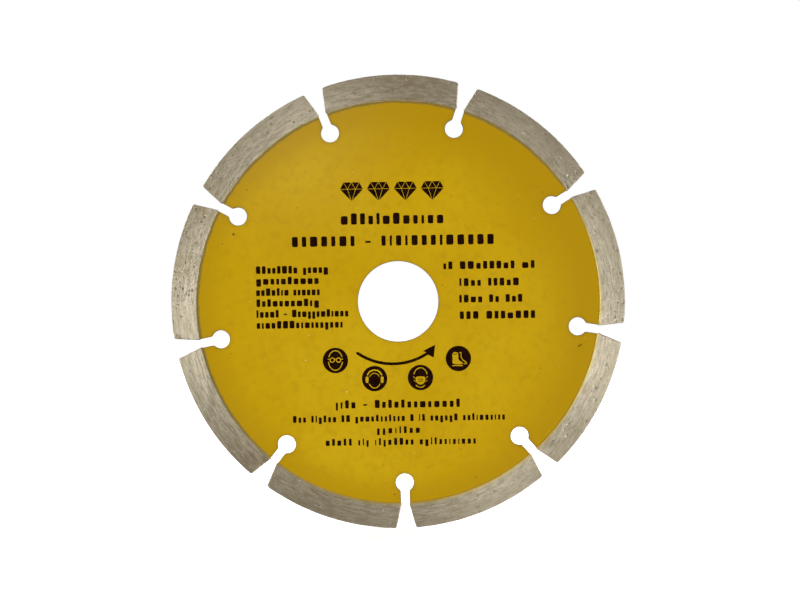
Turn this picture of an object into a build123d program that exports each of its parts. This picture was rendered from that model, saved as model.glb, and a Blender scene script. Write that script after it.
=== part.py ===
from build123d import *
from build123d.topology import SkipClean
import os
from math import asin, degrees

# A segmented diamond cutting disc for an angle grinder: a flat steel core with a round bore and keyhole
# gullets, and sintered diamond segments pressed over its rim.
# The disc stands upright. Its spin axis is Y, the printed front faces -Y, and looking at the front +X is to
# the right and +Z is up. The origin is the bore's centre, halfway through the thickness.

# --- Driving dimensions, in millimetres and degrees ---
disc_diameter = 125.0
bore_diameter = 22.23
core_thickness = 1.4
edge_chamfer = 0.1  # round the bore, the keyholes and their slots, on both faces

segment_count = 9
segment_height = 7.0  # radial depth of the diamond layer
segment_thickness = 2.0  # stands proud of the core on both faces
segment_corner_radius = 0.25  # seen from the front
rim_rounding = 0.15  # the cutting edge, trued on a wheel
root_chamfer = 0.2  # the step down to the core
gap_at_root = 1.9  # the gap between two segments widens outwards as a V
gap_at_rim = 5.5

lowest_gullet_angle = -87.9  # from +X, counter-clockwise as seen from the front
keyhole_diameter = 5.0
keyhole_centre_radius = 50.0
keyhole_fillet = 0.8
slot_width = 2.4

tongue_depth = 1.5  # how far the core's rim runs into a segment
tongue_end_inset = 0.6  # from the side of the slot to the end of the tongue
notches_per_segment = 5
notch_radius = 0.9
notch_pitch_angle = 6.0

# --- Worked out from them ---
disc_radius = disc_diameter / 2
core_radius = disc_radius - segment_height
tongue_radius = core_radius + tongue_depth
segment_pitch_angle = 360 / segment_count
first_segment_angle = lowest_gullet_angle + segment_pitch_angle / 2
notch_range_angle = notch_pitch_angle * (notches_per_segment - 1)

# Plane.XZ looks towards -Y, so a sketch on it is the disc as seen from the front.
front_view = Plane.XZ

os.makedirs("parts", exist_ok=True)


def save(part, label):
    """Labels a finished piece and writes it to its own STEP file."""
    part.label = label
    export_step(part, f"parts/{label}.step")


# --- Gullet: a keyhole that opens outwards through a parallel slot, with its centre line along +X ---
with BuildSketch() as gullet:
    with Locations((keyhole_centre_radius, 0)):
        Circle(keyhole_diameter / 2)
        Rectangle(disc_radius - keyhole_centre_radius, slot_width, align=(Align.MIN, Align.CENTER))
    keyhole_shoulders = gullet.vertices().sort_by_distance((keyhole_centre_radius, 0))[:2]
    fillet(keyhole_shoulders, keyhole_fillet)

# --- Steel core ---
with BuildPart() as steel_core:
    with BuildSketch(front_view):
        Circle(core_radius)
        Circle(bore_diameter / 2, mode=Mode.SUBTRACT)
        with PolarLocations(0, segment_count, start_angle=lowest_gullet_angle):
            add(gullet.sketch, mode=Mode.SUBTRACT)
    extrude(amount=core_thickness / 2, both=True)

    # The outermost edges, one to each segment on each face, stay sharp: the tongue goes on between them.
    edges_outwards = steel_core.faces().filter_by(Axis.Y).edges().sort_by(SortBy.DISTANCE)
    chamfer(edges_outwards[: -2 * segment_count], edge_chamfer)

    # The hidden tongue that the segments are pressed over. It is fused without merging coplanar faces, so
    # each face keeps an edge at the core radius, where the open, painted part of it ends.
    with BuildSketch(front_view.offset(-core_thickness / 2)):
        Circle(tongue_radius)
        Circle(core_radius, mode=Mode.SUBTRACT)
        with PolarLocations(0, segment_count, start_angle=lowest_gullet_angle):
            with Locations((core_radius, 0)):
                Rectangle(segment_height, slot_width + 2 * tongue_end_inset, mode=Mode.SUBTRACT)
        with PolarLocations(0, segment_count, start_angle=first_segment_angle):
            with PolarLocations(
                tongue_radius,
                notches_per_segment,
                start_angle=-notch_range_angle / 2,
                angular_range=notch_range_angle,
                endpoint=True,
            ):
                Circle(notch_radius, mode=Mode.SUBTRACT)
    with SkipClean():
        extrude(amount=core_thickness, clean=False)

save(steel_core.part, "steel_core")


# --- Diamond layer: the whole ring that the segments are sectors of ---
with BuildPart() as diamond_ring:
    with BuildSketch(Plane.XY) as cross_section:
        with Locations(((core_radius + disc_radius) / 2, 0)):
            Rectangle(segment_height, segment_thickness)
        chamfer(cross_section.vertices().group_by(Axis.X)[0], root_chamfer)
        fillet(cross_section.vertices().group_by(Axis.X)[-1], rim_rounding)
    revolve(axis=Axis.Y)


# --- Segment outline, with its centre line along +X ---
def half_angle(radius, gap):
    """Half the angle that a segment spans at a radius where its two neighbours are a gap away."""
    return segment_pitch_angle / 2 - degrees(asin(gap / 2 / radius))


root_half_angle = half_angle(core_radius, gap_at_root)
rim_half_angle = half_angle(disc_radius, gap_at_rim)
with BuildSketch() as segment_outline:
    with BuildLine():
        root = CenterArc((0, 0), core_radius, -root_half_angle, 2 * root_half_angle)
        rim = CenterArc((0, 0), disc_radius, -rim_half_angle, 2 * rim_half_angle)
        Line(root @ 0, rim @ 0)
        Line(root @ 1, rim @ 1)
    make_face()
    fillet(segment_outline.vertices(), segment_corner_radius)

# --- Diamond segments, numbered counter-clockwise from the one to the right of the lowest gullet ---
for index in range(segment_count):
    with BuildPart() as segment:
        with BuildSketch(front_view):
            add(segment_outline.sketch, rotation=first_segment_angle + index * segment_pitch_angle)
        extrude(amount=segment_thickness, both=True)
        add(diamond_ring.part, mode=Mode.INTERSECT)
        add(steel_core.part, mode=Mode.SUBTRACT)
    save(segment.part, f"segment_{index + 1}")
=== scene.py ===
from itertools import product
from math import atan2, cos, degrees, hypot, pi, radians, sin

import bmesh
import bpy
import numpy as np
from mathutils import Matrix, Vector, noise


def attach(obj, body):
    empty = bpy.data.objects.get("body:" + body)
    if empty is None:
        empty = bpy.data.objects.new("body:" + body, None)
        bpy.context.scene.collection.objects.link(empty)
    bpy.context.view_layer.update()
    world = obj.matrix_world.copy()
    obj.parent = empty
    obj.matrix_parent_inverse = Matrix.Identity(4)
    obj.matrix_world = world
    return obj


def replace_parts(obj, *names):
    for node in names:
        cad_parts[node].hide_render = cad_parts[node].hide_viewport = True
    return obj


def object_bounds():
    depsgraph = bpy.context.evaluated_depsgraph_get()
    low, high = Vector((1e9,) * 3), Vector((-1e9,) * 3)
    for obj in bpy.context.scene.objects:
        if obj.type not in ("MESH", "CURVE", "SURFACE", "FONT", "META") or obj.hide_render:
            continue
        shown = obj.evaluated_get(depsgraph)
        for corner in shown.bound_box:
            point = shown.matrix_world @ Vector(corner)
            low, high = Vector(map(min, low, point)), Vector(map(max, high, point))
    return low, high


# The looks of a segmented diamond disc. The frame has its spin axis along Y, its printed front towards -Y
# and its bore's centre at the origin. Lengths are in millimetres, but the stage is placed in metres.

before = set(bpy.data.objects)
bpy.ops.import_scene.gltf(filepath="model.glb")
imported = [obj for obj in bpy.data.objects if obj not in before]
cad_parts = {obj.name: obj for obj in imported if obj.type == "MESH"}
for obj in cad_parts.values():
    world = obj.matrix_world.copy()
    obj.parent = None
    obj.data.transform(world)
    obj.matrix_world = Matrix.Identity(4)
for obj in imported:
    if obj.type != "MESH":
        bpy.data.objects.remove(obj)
cad_low, cad_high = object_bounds()

MM = 0.001

# --- The disc, measured on the frame ---
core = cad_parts["steel_core"]
core_points = np.array([vertex.co for vertex in core.data.vertices]) / MM
front_face = -core_points[:, 1].min()  # from the middle of the disc to the core's face
bore_radius = np.hypot(core_points[:, 0], core_points[:, 2]).min()
segment_names = sorted(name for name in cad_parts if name.startswith("segment_"))
segment_count = len(segment_names)
segment_pitch = 2 * pi / segment_count

# --- The disc, as the CAD draws it ---
GAP_AT_ROOT, GAP_AT_RIM = 1.9, 5.5  # between two segments
LOWEST_GULLET = radians(-87.9)
KEYHOLE_CENTRE, KEYHOLE_RADIUS, SLOT_WIDTH = 50.0, 2.6, 2.6  # over their chamfers
SEGMENT_MIDDLE = 59.0  # the radius half way up a segment

# --- The paint, and the painted shadow of the step, at the segments' root ---
MASK_CENTRE = (0.2, -front_face, -0.35)  # the painter's mask sat a little off the disc's centre
SHADIEST_WAY = radians(130)  # the way out of the centre to where the painted shadow at the root is darkest


# ---------------------------------------------------------------------------------------------- helpers
def linked(name, data):
    """A new object in the scene that shows a mesh, or is a light or a camera."""
    made = bpy.data.objects.new(name, data)
    bpy.context.scene.collection.objects.link(made)
    return made


def add_mesh(name, points, faces, material, smooth=True):
    """A mesh object from points in millimetres and faces that list their points' numbers."""
    mesh = bpy.data.meshes.new(name)
    mesh.from_pydata((np.asarray(points) * MM).tolist(), [], faces)
    mesh.polygons.foreach_set("use_smooth", [smooth] * len(mesh.polygons))
    mesh.materials.append(material)
    mesh.update()
    return linked(name, mesh)


def polar(radius, angle):
    """A point of the front view, (x, z)."""
    return radius * cos(angle), radius * sin(angle)


class Nodes:
    """Builds a node tree by short calls. Each call gives back the new node's output."""

    def __init__(self, tree):
        self.tree = tree
        tree.nodes.clear()

    def add(self, kind, inputs=None, output=0, **settings):
        node = self.tree.nodes.new(kind)
        for name, value in settings.items():
            setattr(node, name, value)
        for key, value in (inputs or {}).items():
            if isinstance(value, bpy.types.NodeSocket):
                self.tree.links.new(value, node.inputs[key])
            else:
                node.inputs[key].default_value = value
        return node.outputs[output] if len(node.outputs) else node

    def math(self, operation, *values, clamp=False):
        return self.add("ShaderNodeMath", dict(enumerate(values)), operation=operation, use_clamp=clamp)

    def ramp(self, value, low, high, to_low=0.0, to_high=1.0, smooth=True):
        """value from low to high becomes to_low to to_high, and stays there beyond."""
        inputs = {"Value": value, "From Min": low, "From Max": high, "To Min": to_low, "To Max": to_high}
        kind = "SMOOTHSTEP" if smooth else "LINEAR"
        return self.add("ShaderNodeMapRange", inputs, interpolation_type=kind)

    def mix(self, share, first, second):
        """first at share 0, second at share 1; colours have 4 numbers."""
        inputs = {"Factor": share, "A": first, "B": second}
        node = self.tree.nodes.new("ShaderNodeMix")
        node.data_type = "RGBA"
        sockets = [socket for socket in node.inputs if socket.enabled and socket.type in ("VALUE", "RGBA")]
        for name, value in inputs.items():
            socket = next(socket for socket in sockets if socket.name == name)
            if isinstance(value, bpy.types.NodeSocket):
                self.tree.links.new(value, socket)
            else:
                socket.default_value = value
        return next(socket for socket in node.outputs if socket.enabled)

    def noise(self, vector, scale, detail=2.0, roughness=0.5):
        inputs = {"Vector": vector, "Scale": scale, "Detail": detail, "Roughness": roughness}
        return self.add("ShaderNodeTexNoise", inputs)

    def vector(self, x, y, z):
        return self.add("ShaderNodeCombineXYZ", {"X": x, "Y": y, "Z": z})

    def places(self):
        """The point in millimetres, its x, y and z, and its radius and angle about the spin axis."""
        point = self.add("ShaderNodeTexCoord", output=3)
        point = self.add("ShaderNodeVectorMath", {0: point, "Scale": 1 / MM}, operation="SCALE")
        split = self.tree.nodes.new("ShaderNodeSeparateXYZ")
        self.tree.links.new(point, split.inputs[0])
        x, y, z = split.outputs
        radius = self.math("SQRT", self.math("ADD", self.math("MULTIPLY", x, x), self.math("MULTIPLY", z, z)))
        angle = self.math("ARCTAN2", z, x)
        return point, x, y, z, radius, angle

    def distance(self, point, place):
        return self.add("ShaderNodeVectorMath", {0: point, 1: place}, output=1, operation="DISTANCE")

    def spot(self, point, x, z, size, ragged):
        """1 within a small spot of the front view, 0 outside it. Its edge is as uneven as ragged is."""
        away = self.math("ADD", self.distance(point, (x, -front_face, z)), ragged)
        return self.ramp(away, size * 1.15, size * 0.85)

    def off_way(self, angle, way):
        """How far an angle is from a way out of the disc's centre, to either side."""
        return self.math("ABSOLUTE", self.math("WRAP", self.math("SUBTRACT", angle, way), pi, -pi))

    def seam(self, angle):
        """How much painted shadow lies at the step of the segments' root: 1 at the disc's upper left, 0 at
        its lower right.
        """
        return self.ramp(self.math("COSINE", self.math("SUBTRACT", angle, SHADIEST_WAY)), -0.5, 0.42)

    def surface(self, **inputs):
        """The Principled shader and the output. Input names are the shader's, with _ for a space."""
        named = {name.replace("_", " "): value for name, value in inputs.items()}
        shader = self.add("ShaderNodeBsdfPrincipled", named)
        self.add("ShaderNodeOutputMaterial", {"Surface": shader})


def new_material(name):
    material = bpy.data.materials.new(name)
    material.use_nodes = True
    return material, Nodes(material.node_tree)


WHITE = (1.0, 1.0, 1.0, 1.0)


# ------------------------------------------------------------------------------------- enamelled steel
ENAMEL = (0.585, 0.343, 0.001, 1.0)
ENAMEL_PALE = (0.63, 0.39, 0.004, 1.0)
ENAMEL_DEEP = (0.485, 0.277, 0.0015, 1.0)
# a painted sheen: a pale, cool tint that stands in for a soft reflection
PAINTED_SHEEN = (0.55, 0.45, 0.32, 1.0)
BARE_STEEL, DARK_STEEL = (0.42, 0.40, 0.37, 1.0), (0.16, 0.13, 0.10, 1.0)
BURNT = (0.14, 0.075, 0.01, 1.0)
# painted shadow of the step at the segments' root
PAINTED_ROOT_SHADOW = (0.20, 0.145, 0.04, 1.0)
RING_METAL = (0.46, 0.37, 0.20, 1.0)
PAINTED_LIGHT_CENTRE = (-12.0, -front_face, -9.0)  # where the painted light is brightest: away from it the enamel is painted darker, as shade on the right
# where the painted sheen is strongest, at the upper left
SHEEN_PLACE = (-30.0, -front_face, 46.0)
PALE_NIB, PINHOLE = (0.80, 0.66, 0.25, 1.0), (0.10, 0.05, 0.012, 1.0)
STRAY_SPECKS = (  # shift and scale of the cells that they lie in, size, share and colour
    ((5.0, 3.0, 9.0), 0.2, 0.02, 0.6, PALE_NIB),
    ((38.0, 7.0, 3.0), 0.16, 0.018, 0.8, PINHOLE),
)
NIB, CHIP, RUST = (0.75, 0.6, 0.2, 1.0), (0.14, 0.07, 0.012, 1.0), (0.42, 0.13, 0.01, 1.0)
PAINT_DEFECTS = (  # x, z, size and colour
    (-45.4, 18.5, 0.32, CHIP),
    (49.6, -12.35, 0.2, CHIP),
    (49.9, -12.2, 0.22, CHIP),
    (50.2, -12.0, 0.2, CHIP),
    (50.45, -11.8, 0.17, CHIP),
    (-1.0, -53.2, 0.28, RUST),
    (-25.5, -16.3, 0.2, NIB),
    (-14.2, -24.9, 0.24, NIB),
)


def enamel_material():
    """Satin mustard enamel on both faces, and bare cut steel on the walls of the bore and the gullets."""
    material, n = new_material("mustard_enamel")
    point, *_, radius, angle = n.places()

    # The nearest gullet, turned to lie along +X, and how far its edge or the bore's is.
    turns = n.math("DIVIDE", n.math("SUBTRACT", angle, LOWEST_GULLET), segment_pitch)
    off_centre = n.math("MULTIPLY", n.math("SUBTRACT", turns, n.math("ROUND", turns)), segment_pitch)
    along = n.math("MULTIPLY", radius, n.math("COSINE", off_centre))
    across = n.math("ABSOLUTE", n.math("MULTIPLY", radius, n.math("SINE", off_centre)))
    out = n.math("SUBTRACT", along, KEYHOLE_CENTRE)
    from_centre = n.math("SQRT", n.math("ADD", n.math("POWER", out, 2.0), n.math("POWER", across, 2.0)))
    to_keyhole = n.math("SUBTRACT", from_centre, KEYHOLE_RADIUS)
    to_slot = n.math("ADD", n.math("SUBTRACT", across, SLOT_WIDTH / 2), n.ramp(out, 1.5, 0.0, 0.0, 5.0))
    to_bore = n.math("SUBTRACT", radius, bore_radius)
    to_edge = n.math("MINIMUM", n.math("MINIMUM", to_keyhole, to_slot), to_bore)

    # Colour: a slow drift, a mottle, a fine tooth, darker further out, painted shade away from a lit place at
    # the lower left, a painted sheen at the upper left, and the burnt line that the laser leaves at an edge.
    drift = n.noise(point, 0.035, 2.0)
    mottle = n.noise(point, 0.45, 4.0, 0.65)
    tooth = n.noise(point, 3.2, 2.0)
    colour = n.mix(n.ramp(drift, 0.35, 0.68), ENAMEL, ENAMEL_PALE)
    colour = n.mix(n.ramp(mottle, 0.42, 0.78, 0.0, 0.6), colour, ENAMEL_DEEP)
    colour = n.mix(n.ramp(tooth, 0.5, 0.8, 0.0, 0.5), colour, ENAMEL_PALE)
    colour = n.mix(n.ramp(radius, 46.0, 55.5, 0.0, 0.85), colour, ENAMEL_DEEP)
    # Painted shade: darker away from a lit place at the lower left, most on the right.
    colour = n.mix(n.ramp(n.distance(point, PAINTED_LIGHT_CENTRE), 44.0, 66.0, 0.0, 0.95), colour, ENAMEL_DEEP)
    # Painted sheen: a faint pale tint at the upper left, as a soft reflection.
    colour = n.mix(n.ramp(n.distance(point, SHEEN_PLACE), 42.0, 0.0, 0.0, 0.05), colour, PAINTED_SHEEN)
    colour = n.mix(n.ramp(to_edge, 1.3, 0.1, 0.0, 0.12), colour, BURNT)
    colour = n.mix(n.ramp(to_edge, 0.3, 0.0, 0.0, 0.2), colour, BURNT)

    # The edge of the painter's mask: painted shadow of the segments' step before it, darkest at the upper
    # left, and the ring of bare metal beyond it.
    uneven = n.math("MULTIPLY", n.math("SUBTRACT", mottle, 0.5), 0.9)
    masked = n.math("ADD", n.distance(point, MASK_CENTRE), uneven)
    shaded_root = n.math("MULTIPLY", n.ramp(masked, 54.8, 55.4), n.ramp(n.seam(angle), 0.0, 1.0, 0.05, 0.85))
    colour = n.mix(shaded_root, colour, PAINTED_ROOT_SHADOW)
    colour = n.mix(n.ramp(masked, 55.55, 55.85, 0.0, 0.9), colour, RING_METAL)

    # Dust nibs in the paint, pinholes through it, and its larger defects.
    for shift, scale, size, share, paint in STRAY_SPECKS:
        shifted = n.add("ShaderNodeVectorMath", {0: point, 1: shift}, operation="ADD")
        cells = n.add("ShaderNodeTexVoronoi", {"Vector": shifted, "Scale": scale}, output=0)
        colour = n.mix(n.ramp(cells, 0.04, size, 0.0, share), colour, paint)
    ragged = n.math("MULTIPLY", n.math("SUBTRACT", tooth, 0.5), 0.5)
    for x, z, size, paint in PAINT_DEFECTS:
        colour = n.mix(n.spot(point, x, z, size, ragged), colour, paint)

    # Where the surface turns away from the two faces, the steel is bare.
    normal = n.add("ShaderNodeTexCoord", output=1)
    facing = n.add("ShaderNodeSeparateXYZ", {0: normal}, output=1)
    bare = n.ramp(n.math("ABSOLUTE", facing), 0.9, 0.6)
    drawn_out = n.add("ShaderNodeVectorMath", {0: point, 1: (6.0, 0.6, 6.0)}, operation="MULTIPLY")
    cut_marks = n.noise(drawn_out, 1.0, 3.0)
    steel = n.mix(cut_marks, BARE_STEEL, DARK_STEEL)
    colour = n.mix(bare, colour, steel)

    roughness = n.ramp(mottle, 0.3, 0.7, 0.36, 0.46)
    orange_peel = n.noise(point, 1.1, 2.0)
    height = n.math("ADD", n.math("MULTIPLY", orange_peel, 0.7), n.math("MULTIPLY", tooth, 0.3))
    bump = n.add("ShaderNodeBump", {"Height": height, "Strength": 0.25, "Distance": 0.00004})
    n.surface(Base_Color=colour, Roughness=roughness, Metallic=bare, Normal=bump, Specular_IOR_Level=0.08)
    return material


# --------------------------------------------------------------------------------- sintered segments
MATRIX_LIGHT = (0.66, 0.575, 0.42, 1.0)
MATRIX_DARK = (0.39, 0.325, 0.22, 1.0)
STAIN = (0.33, 0.235, 0.115, 1.0)
PIT = (0.09, 0.065, 0.04, 1.0)
# overspray on the root, and a paler copy of it that is a painted highlight on the step's wall on the right
OVERSPRAY, OVERSPRAY_HIGHLIGHT = (0.70, 0.50, 0.09, 1.0), (0.88, 0.68, 0.155, 1.0)
STAINED = (  # where the heat of cutting has left the metal browner, how far to each side, and how strongly
    (radians(88), 0.3, 1.0),
    (radians(154), 0.3, 1.4),
    (radians(170), 0.25, 0.7),
    (radians(228), 0.3, 1.0),
    (radians(246), 0.3, 1.0),
)
PALER = radians(50)  # where it is a little paler
STREAKY = radians(212)  # the middle of the segment with the boldest streaks


def sintered_material():
    """Pressed and sintered metal powder, ground along the arc: fine streaks, grain and dark pits."""
    material, n = new_material("sintered_matrix")
    point, x, y, _, radius, angle = n.places()
    arc = n.math("MULTIPLY", angle, SEGMENT_MIDDLE)
    streaks = n.noise(n.vector(radius, n.math("MULTIPLY", arc, 0.12), y), 2.6, 2.0, 0.6)
    smears = n.noise(n.vector(radius, n.math("MULTIPLY", arc, 0.3), y), 1.1, 2.0, 0.6)
    grain = n.noise(point, 2.3, 3.0, 0.7)
    patches = n.noise(point, 0.13, 2.0)

    # How light the metal is, and where it is stained, worn or pitted.
    value = n.math("MULTIPLY", streaks, 0.42)
    for layer, share in ((smears, 0.18), (grain, 0.28), (patches, 0.12)):
        value = n.math("ADD", value, n.math("MULTIPLY", layer, share))
    value = n.math("ADD", value, n.ramp(n.off_way(angle, PALER), 0.3, 0.08, 0.0, 0.07))
    bolder = n.ramp(n.off_way(angle, STREAKY), 0.37, 0.3, 0.0, 0.6)
    value = n.math("ADD", value, n.math("MULTIPLY", n.math("SUBTRACT", streaks, 0.48), bolder))
    colour = n.mix(n.ramp(value, 0.38, 0.62), MATRIX_DARK, MATRIX_LIGHT)
    browner = n.ramp(patches, 0.5, 0.75, 0.0, 0.5)
    for way, reach, strength in STAINED:
        off = n.math("ADD", n.off_way(angle, way), n.math("MULTIPLY", smears, 0.15))
        near_rim = n.ramp(radius, 56.0, 59.5, 0.3 * strength, 0.6 * strength)
        browner = n.math("MAXIMUM", browner, n.math("MULTIPLY", n.ramp(off, reach, 0.05), near_rim))
    colour = n.mix(n.math("MULTIPLY", browner, n.ramp(smears, 0.8, 0.3)), colour, STAIN)
    colour = n.mix(n.ramp(radius, 58.0, 61.5, 0.0, 0.45), colour, MATRIX_DARK)
    pit = n.add("ShaderNodeAttribute", attribute_name="pit", output=2)
    colour = n.mix(n.math("MULTIPLY", pit, 0.95, clamp=True), colour, PIT)

    # The root: overspray past the painter's mask, paler on the right as a painted highlight, and painted
    # shadow in the step.
    ragged = n.math("ADD", n.distance(point, MASK_CENTRE), n.math("MULTIPLY", grain, 0.4))
    # Overspray, painted paler on the right as a painted highlight where the step faces the light.
    overspray_and_highlight = n.mix(n.ramp(x, 46.0, 54.0), OVERSPRAY, OVERSPRAY_HIGHLIGHT)
    colour = n.mix(n.ramp(ragged, 56.4, 55.5, 0.0, 0.75), colour, overspray_and_highlight)
    # Painted shadow in the step at the root: darkest at the upper left, and darker towards the left.
    shaded_root = n.math("MULTIPLY", n.ramp(ragged, 56.25, 55.9, 0.0, 1.0), n.seam(angle))
    shaded_root = n.math("MULTIPLY", shaded_root, n.ramp(x, 30.0, -45.0, 0.2, 0.95))
    colour = n.mix(shaded_root, colour, PAINTED_ROOT_SHADOW)

    roughness = n.ramp(grain, 0.3, 0.75, 0.3, 0.5)
    height = n.math("ADD", n.math("MULTIPLY", streaks, 0.6), n.math("MULTIPLY", grain, 0.6))
    bump = n.add("ShaderNodeBump", {"Height": height, "Strength": 0.5, "Distance": 0.00005})
    tangent = n.add("ShaderNodeTangent", direction_type="RADIAL", axis="Y")
    n.surface(
        Base_Color=colour,
        Roughness=roughness,
        Metallic=n.ramp(pit, 0.0, 0.6, 0.62, 0.1),
        Normal=bump,
        Anisotropic=0.85,
        Anisotropic_Rotation=0.25,
        Tangent=tangent,
    )
    return material


GRIT_PALE, GRIT_DARK = (0.62, 0.60, 0.38, 1.0), (0.36, 0.36, 0.22, 1.0)


def diamond_material():
    """Synthetic grit: yellow-green, glassy and hard-edged."""
    material, n = new_material("diamond_grit")
    point, *_ = n.places()
    tint = n.noise(point, 1.7, 1.0)
    colour = n.mix(n.ramp(tint, 0.35, 0.65), GRIT_PALE, GRIT_DARK)
    cloud = n.noise(point, 9.0, 2.0)
    n.surface(Base_Color=colour, Roughness=n.ramp(cloud, 0.3, 0.7, 0.5, 0.75), IOR=1.7)
    return material


def smooth_steps(length, step, rounding):
    """Places from 0 to length: close steps over the rounding at each end, even ones between."""
    close = np.linspace(0.0, rounding, 4)
    count = max(2, round((length - 2 * rounding) / step) + 1)
    even = np.linspace(rounding, length - rounding, count)
    return np.concatenate([close[:-1], even, length - close[-2::-1]])


def box_surface(shape):
    """The outer nodes of a lattice, and the quads between them wound to face outwards."""
    outer = np.zeros(shape, bool)
    for axis in range(3):
        for end in (0, -1):
            outer[(slice(None),) * axis + (end,)] = True
    number = np.full(shape, -1)
    number[outer] = np.arange(outer.sum())
    quads = []
    for axis in range(3):
        for end in (0, -1):
            side = np.take(number, end, axis=axis)
            if axis == 1:
                side = side.T
            corners = [side[:-1, :-1], side[1:, :-1], side[1:, 1:], side[:-1, 1:]]
            if end == 0:
                corners.reverse()
            quads.append(np.stack(corners, axis=-1).reshape(-1, 4))
    return np.argwhere(outer), np.concatenate(quads)


def rounded(points, low, high, radius):
    """Points on and in a box, moved so that its edges are round: squares about an edge become circles."""
    core_point = np.clip(points, low + radius, high - radius)
    away = points - core_point
    far = np.abs(away).max(axis=1, keepdims=True)
    length = np.linalg.norm(away, axis=1, keepdims=True)
    return core_point + away * np.divide(far, length, out=np.zeros_like(far), where=length > 0)


def normals_of(points, quads):
    """Vertex normals, from the quads' diagonals."""
    corners = points[quads]
    face_normals = np.cross(corners[:, 2] - corners[:, 0], corners[:, 3] - corners[:, 1])
    normals = np.zeros_like(points)
    for corner in range(4):
        np.add.at(normals, quads[:, corner], face_normals)
    return normals / np.linalg.norm(normals, axis=1, keepdims=True)


def sampled_noise(points, scales):
    """Smooth noise from about -1 to 1 at points, with a scale for each axis."""
    return np.array([noise.noise(Vector(point)) for point in points * np.asarray(scales)])


EDGE_ROUNDING, CORNER_ROUNDING = 0.2, 0.4
RADIAL_STEP, ARC_STEP, THICKNESS_STEP = 0.16, 0.2, 0.2
PITS = (55, 60, 120, 110, 80, 120, 140, 55, 50)  # on each segment
CHIPS_PER_SEGMENT, GRIT_PER_SEGMENT = 26, 40
GROOVE_DEPTH, GRAIN_DEPTH = 0.012, 0.008  # grinding marks on the two faces, and grain everywhere
LUMP_DEPTH, END_GRAIN_DEPTH = 0.03, 0.02  # lumps off the faces, and more grain on the two ends


def segment_frame(node):
    """A CAD segment's radii, half thickness and middle angle."""
    points = np.array([vertex.co for vertex in node.data.vertices]) / MM
    radii = np.hypot(points[:, 0], points[:, 2])
    angles = np.arctan2(points[:, 2], points[:, 0])
    rough = atan2(points[:, 2].mean(), points[:, 0].mean())
    offsets = (angles - rough + pi) % (2 * pi) - pi
    return radii.min(), radii.max(), points[:, 1].max(), rough + (offsets.min() + offsets.max()) / 2


def sintered_segment(name, node, material, seed):
    """The segment with round worn edges, grinding grooves, grain and pits, as one closed mesh."""
    root, rim, half_thick, middle = segment_frame(node)
    rng = np.random.default_rng(seed)
    height = rim - root

    def half_angle(radius):
        gap = GAP_AT_ROOT + (GAP_AT_RIM - GAP_AT_ROOT) * (radius - root) / height
        return segment_pitch / 2 - np.arcsin(gap / 2 / radius)

    mean_radius = (root + rim) / 2
    half_arc = half_angle(mean_radius) * mean_radius

    # The flat box: out along the radius, along the arc, and towards the front.
    sides = (
        smooth_steps(height, RADIAL_STEP, EDGE_ROUNDING),
        smooth_steps(2 * half_arc, ARC_STEP, EDGE_ROUNDING) - half_arc,
        smooth_steps(2 * half_thick, THICKNESS_STEP, EDGE_ROUNDING) - half_thick,
    )
    index, quads = box_surface([len(side) for side in sides])
    flat = np.stack([side[index[:, axis]] for axis, side in enumerate(sides)], axis=1)
    low = np.array([0.0, -half_arc, -half_thick])
    flat = rounded(flat, low, np.array([height, half_arc, half_thick]), EDGE_ROUNDING)
    flat[:, :2] = rounded(flat[:, :2], low[:2], np.array([height, half_arc]), CORNER_ROUNDING)
    normals = normals_of(flat, quads)

    # Relief, as height along the normal.
    facing = np.abs(normals[:, 2])
    ended = np.abs(normals[:, 1])
    offset = np.array([seed * 7.3, 0.0, 0.0])
    grooves = sampled_noise(flat + offset, (3.1, 0.08, 1.2))
    grooves += 0.6 * sampled_noise(flat + offset, (1.3, 0.03, 0.6))
    grain = sampled_noise(flat + offset, (2.4, 2.4, 2.4))
    lumps = sampled_noise(flat + offset, (0.7, 0.7, 0.7))
    relief = GROOVE_DEPTH * grooves * facing + GRAIN_DEPTH * grain
    relief += LUMP_DEPTH * lumps * (1 - facing)
    relief += END_GRAIN_DEPTH * grain * ended

    # Pits over the faces, more of them towards the rim, and chips along the edges.
    pit = np.zeros(len(flat))
    on_edge = (facing > 0.3) & (facing < 0.95)
    weight = np.where(on_edge, 0.0, 0.35 + (flat[:, 0] / height) ** 1.5)
    pit_count = PITS[seed - 1]
    spots = list(rng.choice(len(flat), pit_count, p=weight / weight.sum()))
    spots += list(rng.choice(np.flatnonzero(on_edge), CHIPS_PER_SEGMENT))
    for number, spot in enumerate(spots):
        size = rng.uniform(0.16, 0.24) * (1 + 1.1 * rng.random() ** 3)
        stretch = rng.uniform(1.0, 2.4)
        away = (flat - flat[spot]) / (size, size * stretch, size)
        bowl = np.clip(1 - (away**2).sum(axis=1), 0, 1)
        relief -= bowl**1.5 * size * rng.uniform(0.3, 0.5)
        depth = rng.uniform(0.35, 0.5 + pit_count / 240) if number < pit_count else 0.4
        pit = np.maximum(pit, bowl**0.7 * depth)

    flat += normals * relief[:, None]
    radius = root + flat[:, 0]
    angle = middle + flat[:, 1] / half_arc * half_angle(radius)
    points = np.stack([radius * np.cos(angle), -flat[:, 2], radius * np.sin(angle)], axis=1)
    made = add_mesh(name, points, quads.tolist(), material)
    made.data.attributes.new("pit", "FLOAT", "POINT").data.foreach_set("value", pit.astype(np.float32))
    made.data.use_auto_texspace = False
    made.data.texspace_location = (0.0, 0.0, 0.0)
    made.data.texspace_size = (rim * MM,) * 3

    world_normals = normals_of(points, quads)
    seats = rng.choice(np.flatnonzero(~on_edge & (ended < 0.5)), GRIT_PER_SEGMENT, replace=False)
    return made, [(points[seat], world_normals[seat]) for seat in seats], rng


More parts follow.
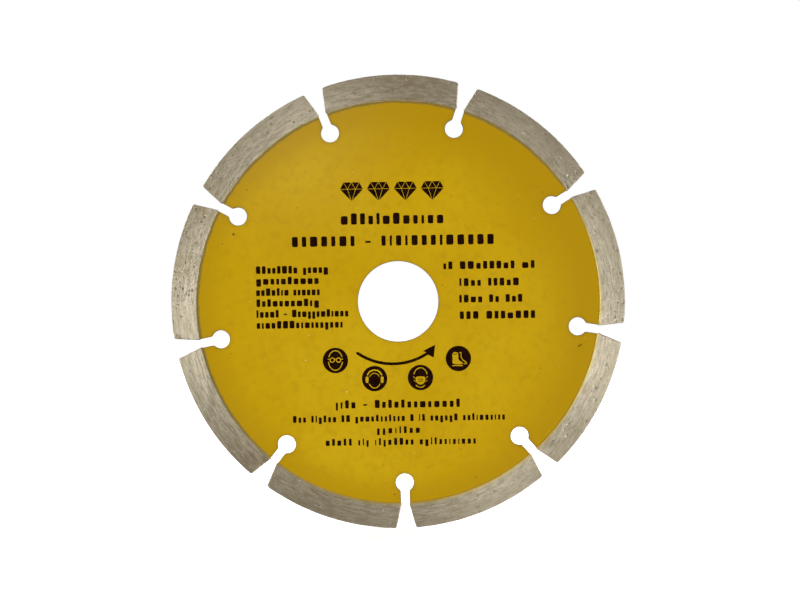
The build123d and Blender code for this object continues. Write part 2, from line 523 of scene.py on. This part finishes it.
def cuboctahedron():
    """The corners and faces of the crystal that diamond grit grows as, with corners at distance 1."""
    body = bmesh.new()
    for corner in product((-1, 0, 1), repeat=3):
        if sum(map(abs, corner)) == 2:
            body.verts.new(Vector(corner).normalized())
    bmesh.ops.convex_hull(body, input=body.verts)
    bmesh.ops.dissolve_limit(body, angle_limit=radians(1), verts=body.verts, edges=body.edges)
    bmesh.ops.recalc_face_normals(body, faces=body.faces)
    corners = np.array([vertex.co for vertex in body.verts])
    faces = [[vertex.index for vertex in face.verts] for face in body.faces]
    body.free()
    return corners, faces


def diamond_grit(name, seats, rng, material):
    """Crystals held in a segment's skin, each turned its own way and standing a little proud."""
    corners, faces = cuboctahedron()
    points, all_faces = [], []
    for place, normal in seats:
        size = rng.uniform(0.12, 0.2)
        turn = np.linalg.qr(rng.normal(size=(3, 3)))[0]
        turn *= np.sign(np.linalg.det(turn))
        sunk = place - normal * size * rng.uniform(0.45, 0.75)
        start = len(points) * len(corners)
        points.append(corners @ turn.T * size + sunk)
        all_faces += [[start + corner for corner in face] for face in faces]
    return add_mesh(name, np.concatenate(points), all_faces, material, smooth=False)


# ------------------------------------------------------------------------------------- screen printing
INK_FILM = 0.02  # thickness of the ink
PRINT_TILT = radians(0.9)  # the print isn't quite square to the disc
INK, THIN_INK = (0.011, 0.0022, 0.0006, 1.0), (0.028, 0.010, 0.003, 1.0)


def ink_material():
    """Black screen ink: satin, a little uneven, with pinholes."""
    material, n = new_material("black_ink")
    point, *_ = n.places()
    cloud = n.noise(point, 0.8, 3.0)
    pinholes = n.noise(point, 7.0, 1.0)
    colour = n.mix(n.ramp(cloud, 0.4, 0.8, 0.0, 0.7), INK, THIN_INK)
    colour = n.mix(n.ramp(pinholes, 0.72, 0.8, 0.0, 0.6), colour, ENAMEL)
    n.surface(Base_Color=colour, Roughness=n.ramp(cloud, 0.3, 0.7, 0.42, 0.58), Specular_IOR_Level=0.02)
    return material


def ink_piece(name, loops, material, tilt=PRINT_TILT):
    """A film of ink on the front face. Each loop is an outline in the front view, and a loop inside
    another is a hole."""
    curve = bpy.data.curves.new(name, "CURVE")
    curve.dimensions, curve.fill_mode = "2D", "BOTH"
    curve.extrude = INK_FILM * MM
    for loop in loops:
        spline = curve.splines.new("POLY")
        spline.points.add(len(loop) - 1)
        for point, (x, z) in zip(spline.points, loop):
            point.co = (x * MM, z * MM, 0.0, 1.0)
        spline.use_cyclic_u = True
    holder = bpy.data.objects.new(name + "_outline", curve)
    mesh = bpy.data.meshes.new_from_object(holder)
    bpy.data.objects.remove(holder)
    bpy.data.curves.remove(curve)

    body = bmesh.new()
    body.from_mesh(mesh)
    bmesh.ops.remove_doubles(body, verts=body.verts, dist=1e-7)
    bmesh.ops.recalc_face_normals(body, faces=body.faces)
    body.to_mesh(mesh)
    body.free()
    upright = Matrix.Rotation(radians(90), 4, "X") @ Matrix.Rotation(tilt, 4, "Z")
    mesh.transform(Matrix.Translation((0.0, -front_face * MM, 0.0)) @ upright)
    mesh.materials.clear()
    mesh.materials.append(material)
    mesh.name = name
    made = linked(name, mesh)
    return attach(made, "root")


def circle_loop(x, z, radius, steps=48):
    """A circle, counter-clockwise."""
    turns = [2 * pi * step / steps for step in range(steps)]
    return [(x + radius * cos(turn), z + radius * sin(turn)) for turn in turns]


def block_loop(left, bottom, width, height, corner, steps=4):
    """An upright block with round corners."""
    right, top = left + width, bottom + height
    centres = (
        (right - corner, top - corner),
        (left + corner, top - corner),
        (left + corner, bottom + corner),
        (right - corner, bottom + corner),
    )
    loop = []
    for quarter, (x, z) in enumerate(centres):
        for step in range(steps + 1):
            turn = pi / 2 * (quarter + step / steps)
            loop.append((x + corner * cos(turn), z + corner * sin(turn)))
    return loop


def rounded_loop(points, rounds=3):
    """A closed outline whose corners are cut again and again until they are smooth."""
    for _ in range(rounds):
        cut = []
        for (x0, z0), (x1, z1) in zip(points, points[1:] + points[:1]):
            cut.append((0.75 * x0 + 0.25 * x1, 0.75 * z0 + 0.25 * z1))
            cut.append((0.25 * x0 + 0.75 * x1, 0.25 * z0 + 0.75 * z1))
        points = cut
    return points


CAP_STEPS = 6


def arc_loop(x, z, radius, start, end, width, steps=20):
    """A stroke along an arc, with round ends. Angles are in degrees."""
    start, end, half = radians(start), radians(end), width / 2
    turns = [start + (end - start) * step / steps for step in range(steps + 1)]
    loop = [(x + (radius + half) * cos(t), z + (radius + half) * sin(t)) for t in turns]
    loop += cap(x + radius * cos(end), z + radius * sin(end), half, end)
    loop += [(x + (radius - half) * cos(t), z + (radius - half) * sin(t)) for t in reversed(turns)]
    loop += cap(x + radius * cos(start), z + radius * sin(start), half, start + pi)
    return loop


def cap(x, z, radius, start):
    """The points between the ends of a half circle, counter-clockwise from start."""
    turns = [start + pi * step / CAP_STEPS for step in range(1, CAP_STEPS)]
    return [(x + radius * cos(turn), z + radius * sin(turn)) for turn in turns]


def inset(points, distance):
    """A convex outline, counter-clockwise, moved in by a distance."""
    lines = []
    for (x0, z0), (x1, z1) in zip(points, points[1:] + points[:1]):
        length = hypot(x1 - x0, z1 - z0)
        normal = (-(z1 - z0) / length, (x1 - x0) / length)
        lines.append((*normal, normal[0] * x0 + normal[1] * z0 + distance))
    made = []
    for (a0, b0, c0), (a1, b1, c1) in zip(lines[-1:] + lines[:-1], lines):
        det = a0 * b1 - a1 * b0
        made.append(((c0 * b1 - c1 * b0) / det, (a0 * c1 - a1 * c0) / det))
    return made


def gem_loops(x, z, width, height, line=0.07):
    """A cut gem seen from the side, each facet apart from the next."""
    crown = 0.14
    top = [(-0.34, 0.5), (0.0, 0.5), (0.34, 0.5)]
    girdle = [(-0.5, crown), (-0.17, crown), (0.17, crown), (0.5, crown)]
    tip = (0.0, -0.5)
    facets = [
        (top[0], girdle[0], girdle[1]),
        (top[0], girdle[1], top[1]),
        (top[1], girdle[1], girdle[2]),
        (top[1], girdle[2], top[2]),
        (top[2], girdle[2], girdle[3]),
        (girdle[0], tip, girdle[1]),
        (girdle[1], tip, girdle[2]),
        (girdle[2], tip, girdle[3]),
    ]
    return [inset([(x + width * a, z + height * b) for a, b in facet], line) for facet in facets]


BLOCK_WIDTHS, WIDTH_SHARES = (0.7, 0.9, 1.0, 1.1, 1.2), (0.12, 0.3, 0.28, 0.2, 0.1)
BLOCK_GAPS, WORD_GAP = (0.24, 0.32), 0.75  # in middling blocks
SHORT_BLOCK, DESCENT = 0.76, 0.24  # a small letter's height and how far one hangs down, in capitals
HANGING_DRAW = 0.92  # a block drawn above this hangs down, in rows of mostly small letters
DASH = 0  # stands for a word


def text_row(left, right, middle, height, words, rng, tall_share=0.28, bold=0.0):
    """A line of print without letters: an upright block for each letter, in words of the given lengths.
    tall_share is the share of blocks as tall as a capital."""
    widths = [rng.choice(BLOCK_WIDTHS, size=max(letters, 1), p=WIDTH_SHARES) for letters in words]
    em = (right - left) / (sum(word.sum() for word in widths) + WORD_GAP * (len(words) - 1))
    baseline = middle - height / 2
    loops, x = [], left
    for word, letters in zip(widths, words):
        for advance in word * em:
            gap = em * rng.uniform(*BLOCK_GAPS) - bold
            kind = rng.random()
            low, tall = 0.0, height * SHORT_BLOCK
            if kind < tall_share:
                tall = height
            elif kind > HANGING_DRAW and tall_share < 0.5:
                low, tall = -DESCENT * height, height * 0.98
            if letters == DASH:
                low, tall = 0.3 * height, 0.2 * height
            corner = min(advance - gap, tall) * 0.25
            loops.append(block_loop(x + gap / 2, baseline + low, advance - gap, tall, corner))
            x += advance
        x += WORD_GAP * em
    return loops


def rotation_arrow():
    """A curved arrow under the bore, pointing the way the disc turns: counter-clockwise."""
    start, bottom, end = (-11.2, -14.3), (-0.5, -17.2), (8.0, -14.35)
    x, z = circle_through(start, bottom, end)
    radius = hypot(start[0] - x, start[1] - z)
    first, last = (degrees(atan2(p[1] - z, p[0] - x)) for p in (start, end))
    width, steps = 0.8, 28
    shaft = arc_loop(x, z, radius, first, last, width, steps)
    head = [(9.8, -15.5), (10.2, -11.95), (6.8, -13.7)]  # in place of the cap at the end
    return shaft[: steps + 1] + head + shaft[steps + CAP_STEPS :]


def circle_through(first, second, third):
    """The centre of the circle through three points."""
    (ax, az), (bx, bz), (cx, cz) = first, second, third
    d = 2 * (ax * (bz - cz) + bx * (cz - az) + cx * (az - bz))
    a2, b2, c2 = ax * ax + az * az, bx * bx + bz * bz, cx * cx + cz * cz
    x = (a2 * (bz - cz) + b2 * (cz - az) + c2 * (az - bz)) / d
    z = (a2 * (cx - bx) + b2 * (ax - cx) + c2 * (bx - ax)) / d
    return x, z


def moved(loops, x, z):
    return [[(a + x, b + z) for a, b in loop] for loop in loops]


PICTOGRAM_RADIUS, LINE = 3.5, 0.27


def oval_stroke(wide, tall, start, end, steps=24):
    """A line along part of an oval about the centre, with its angles in degrees."""
    turns = [radians(start + (end - start) * step / steps) for step in range(steps + 1)]
    half = LINE / 2
    outer = [((wide + half) * cos(turn), (tall + half) * sin(turn)) for turn in turns]
    inner = [((wide - half) * cos(turn), (tall - half) * sin(turn)) for turn in turns]
    return outer + inner[::-1]


def goggles_icon():
    """Round goggles on a band, in front of a plain oval."""
    oval = [oval_stroke(1.95, 2.7, 20, 160), oval_stroke(1.95, 2.7, 188, 352)]
    frames = []
    for x in (-0.86, 0.86):
        frames += [circle_loop(x, 0.1, 0.74, 28), circle_loop(x, 0.1, 0.46, 24)]
    bridge = block_loop(-0.16, 0.2, 0.32, LINE, 0.08)
    straps = [block_loop(x, 0.2, 0.5, LINE, 0.08) for x in (-2.12, 1.62)]
    return [*oval, *frames, bridge, *straps]


def ear_defender_icon():
    """Two cups on a band over a plain oval."""
    cup = block_loop(1.65, -1.2, 0.85, 1.8, 0.4)
    other_cup = [(-x, z) for x, z in reversed(cup)]
    band = arc_loop(0, 0.25, 2.1, 22, 158, 0.4)
    inner = arc_loop(0, 0.0, 1.45, 25, 155, LINE * 0.8)
    return [cup, other_cup, band, inner, oval_stroke(1.8, 2.6, 212, 328)]


def dust_mask_icon():
    """A pleated mask on its straps, in front of a plain oval."""
    cup = rounded_loop([(0.0, 0.35), (-1.5, 0.2), (-1.2, -1.45), (0.0, -2.1), (1.2, -1.45), (1.5, 0.2)])
    pleats = [block_loop(-0.75, z, 1.5, 0.2, 0.08) for z in (-0.55, -1.1)]
    straps = [
        [(1.52, -0.05), (1.52, -0.3), (2.05, 0.2), (2.0, 0.45)],
        [(1.36, -1.1), (1.3, -1.35), (1.85, -0.85), (1.85, -0.6)],
    ]
    straps += [[(-x, z) for x, z in reversed(strap)] for strap in straps]
    return [cup, *pleats, oval_stroke(1.95, 2.7, 20, 160), oval_stroke(1.95, 2.7, 230, 310), *straps]


def boot_icon():
    """A pair of safety boots, one behind the other."""
    outline = [(-1.75, 1.75), (-1.6, -0.2), (-1.75, -1.6), (1.2, -1.6)]
    outline += [(1.2, -1.05), (0.1, -0.5), (-0.05, 0.4), (0.0, 1.75)]
    boot = rounded_loop(outline, rounds=2)
    sole = block_loop(-1.75, -2.1, 2.95, 0.3, 0.1)
    cuff = block_loop(-1.5, 1.1, 1.2, 0.2, 0.08)
    front_of_leg = [(0.9, 1.75), (0.85, 0.5), (1.3, -0.3), (2.3, -0.95), (2.35, -1.55), (1.45, -1.6)]
    inside_it = [(1.45, -1.35), (2.05, -1.3), (2.0, -1.1), (1.1, -0.5), (0.6, 0.45), (0.65, 1.5), (0.3, 1.5)]
    behind = [(0.3, 1.75), *front_of_leg, *inside_it]
    return [boot, sole, cuff, behind]


def print_front(material):
    """Every mark on the front: gems, blocks for text, the arrow and the four pictograms."""
    rng = np.random.default_rng(125)
    for number, x in enumerate((-12.4, -4.95, 2.45, 9.9), start=1):
        ink_piece(f"gem_icon_{number}", gem_loops(x, 30.35, 6.5, 5.4), material)

    ink_piece("text_title", text_row(-15.9, 13.3, 22.9, 3.1, (12,), rng, bold=-0.27), material)
    title = text_row(-29.6, 27.1, 16.8, 2.8, (7, DASH, 13), rng, tall_share=1.0, bold=-0.41)
    ink_piece("text_kind", title, material)

    left_rows = (  # middle, right end and words
        (9.2, -19.0, (8, 5)),
        (6.2, -21.6, (10,)),
        (3.1, -21.4, (7, 6)),
        (0.1, -21.6, (11,)),
        (-2.9, -13.6, (5, DASH, 12)),
        (-5.95, -15.2, (17,)),
    )
    left_block = [
        loop
        for z, end, words in left_rows
        for loop in text_row(-39.3, end, z, 2.1, words, rng, bold=-0.03)
    ]
    ink_piece("text_left", left_block, material)

    right_rows = (  # middle, left and right end, and words
        (9.7, 12.3, 38.1, (2, 8, 2)),
        (5.0, 16.6, 33.6, (4, 5)),
        (0.45, 16.6, 34.5, (4, 2, 3)),
        (-4.1, 16.6, 38.0, (3, 7)),
    )
    right_block = [
        loop
        for z, start, end, words in right_rows
        for loop in text_row(start, end, z, 2.15, words, rng, tall_share=0.7, bold=-0.14)
    ]
    ink_piece("text_right", right_block, material)

    bottom_rows = (  # middle, left and right end, height, words and boldness
        (-28.2, -18.0, 16.9, 2.25, (4, DASH, 13), -0.25),
        (-32.1, -29.8, 29.2, 1.9, (3, 6, 2, 11, 1, 2, 6, 10), -0.2),
        (-35.4, -6.8, 5.8, 1.9, (8,), -0.36),
        (-38.6, -20.9, 21.1, 1.9, (5, 3, 8, 12), -0.3),
    )
    bottom_block = [
        loop
        for z, start, end, height, words, bold in bottom_rows
        for loop in text_row(start, end, z, height, words, rng, bold=bold)
    ]
    ink_piece("text_bottom", bottom_block, material)

    ink_piece("rotation_arrow", [rotation_arrow()], material, tilt=0.0)
    pictograms = (
        ("goggles", -17.3, -16.3, goggles_icon),
        ("ear_defenders", -6.5, -21.3, ear_defender_icon),
        ("dust_mask", 6.15, -21.0, dust_mask_icon),
        ("boot", 16.6, -15.75, boot_icon),
    )
    for name, x, z, icon in pictograms:
        loops = [circle_loop(0, 0, PICTOGRAM_RADIUS, 72), *icon()]
        ink_piece(f"pictogram_{name}", moved(loops, x, z), material, tilt=0.0)


# ---------------------------------------------------------------------------------------- the object
enamel = enamel_material()
for slot in core.material_slots:
    slot.material = enamel

sintered, grit = sintered_material(), diamond_material()
for number, name in enumerate(segment_names, start=1):
    piece, seats, rng = sintered_segment(f"sintered_{name}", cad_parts[name], sintered, number)
    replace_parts(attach(piece, "root"), name)
    crystals = diamond_grit(f"diamond_grit_{number}", seats, rng, grit)
    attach(crystals, "root")

print_front(ink_material())


# ------------------------------------------------------------------------------------------ the stage
PAPER = (0.84, 0.88, 0.92, 1.0)


def pale_material():
    """Pale matt paper, lifted towards white away from the disc as a lit sweep would be."""
    material, n = new_material("pale_floor")
    _, x, y, *_ = n.places()
    away = n.add("ShaderNodeVectorMath", {0: n.vector(x, y, 0.0)}, output=1, operation="LENGTH")
    lift = n.ramp(away, 150.0, 1500.0, 0.8, 1.0)
    n.surface(Base_Color=PAPER, Roughness=0.8, Emission_Color=WHITE, Emission_Strength=lift)
    return material


def add_floor(radius=3.0, steps=96):
    """A round pale floor that the disc stands on."""
    height = cad_low.z / MM
    edge = [(*polar(radius / MM, 2 * pi * step / steps), height) for step in range(steps)]
    floor = add_mesh("floor", edge, [list(range(steps))], pale_material(), smooth=False)
    floor.visible_diffuse = floor.visible_glossy = floor.visible_shadow = False


def add_backdrop(radius=4.0):
    """A white dome that only the camera sees, so that it lights nothing."""
    material, n = new_material("white_backdrop")
    emission = n.add("ShaderNodeEmission", {"Color": WHITE, "Strength": 1.0})
    n.add("ShaderNodeOutputMaterial", {"Surface": emission})
    body = bmesh.new()
    bmesh.ops.create_icosphere(body, subdivisions=4, radius=radius)
    mesh = bpy.data.meshes.new("backdrop")
    body.to_mesh(mesh)
    body.free()
    mesh.materials.append(material)
    dome = linked("backdrop", mesh)
    dome.visible_diffuse = dome.visible_glossy = dome.visible_transmission = dome.visible_shadow = False


def add_light(name, place, size, power, colour=(1.0, 1.0, 1.0)):
    """A soft square light that faces the disc, in metres and watts. The camera doesn't see it."""
    light = bpy.data.lights.new(name, "AREA")
    light.shape, light.size, light.energy, light.color = "SQUARE", size, power, colour
    made = linked(name, light)
    made.location = place
    made.rotation_euler = (-Vector(place)).to_track_quat("-Z", "Y").to_euler()
    made.visible_camera = False


add_floor()
add_backdrop()
COOL, WARM = (0.95, 1.0, 1.06), (1.0, 0.86, 0.64, 1.0)
SIDEWAYS, FORWARD = 0.61, 0.79  # how far a front light is to the side and in front, at a distance of 1
LIGHT_SIZE, DIMMED = 0.27, 0.79  # a front light's size at 1 m, and the share of its power that is used
front_lights = (  # the way each lies from the disc in the front view in degrees, its distance and power
    ("left", 188, 1.0, 3.2),
    ("upper_left", 120, 1.0, 1.05),
    ("top", 68, 1.7, 0.5),
    ("upper_right", 20, 1.7, 1.4),
    ("right", 342, 1.7, 4.4),
    ("lower_right", 300, 1.7, 2.2),
)
for name, way, away, power in front_lights:
    x, z = polar(SIDEWAYS * away, radians(way))
    add_light(name, (x, -FORWARD * away, z), LIGHT_SIZE * away, DIMMED * power * away**2, COOL)
add_light("back_left", (-0.6, 0.9, 0.5), 0.6, 9.0)
add_light("back_right", (0.8, 0.7, 0.3), 0.6, 8.0)

world = bpy.data.worlds.new("studio")
world.use_nodes = True
world_nodes = Nodes(world.node_tree)
background = world_nodes.add("ShaderNodeBackground", {"Color": WARM, "Strength": 0.16})
world_nodes.add("ShaderNodeOutputWorld", {"Surface": background})
bpy.context.scene.world = world
bpy.context.scene.view_settings.view_transform = "Standard"

# The camera looks level along +Y, from where the disc's front is as large as it should be in the picture.
LENS, SENSOR, PICTURE_WIDTH = 85.0, 36.0, 800
MM_PER_DOT = 0.27552  # at the disc's front
CAMERA_RIGHT, CAMERA_UP = 0.0005, 0.00037  # of the spin axis
camera_distance = MM_PER_DOT * MM * PICTURE_WIDTH * LENS / SENSOR
camera_data = bpy.data.cameras.new("camera")
camera_data.lens, camera_data.sensor_width = LENS, SENSOR
camera_data.clip_start, camera_data.clip_end = 0.01, 20.0
camera = linked("camera", camera_data)
camera.location = (CAMERA_RIGHT, cad_low.y - camera_distance, CAMERA_UP)
camera.rotation_euler = (radians(90), 0.0, 0.0)
bpy.context.scene.camera = camera
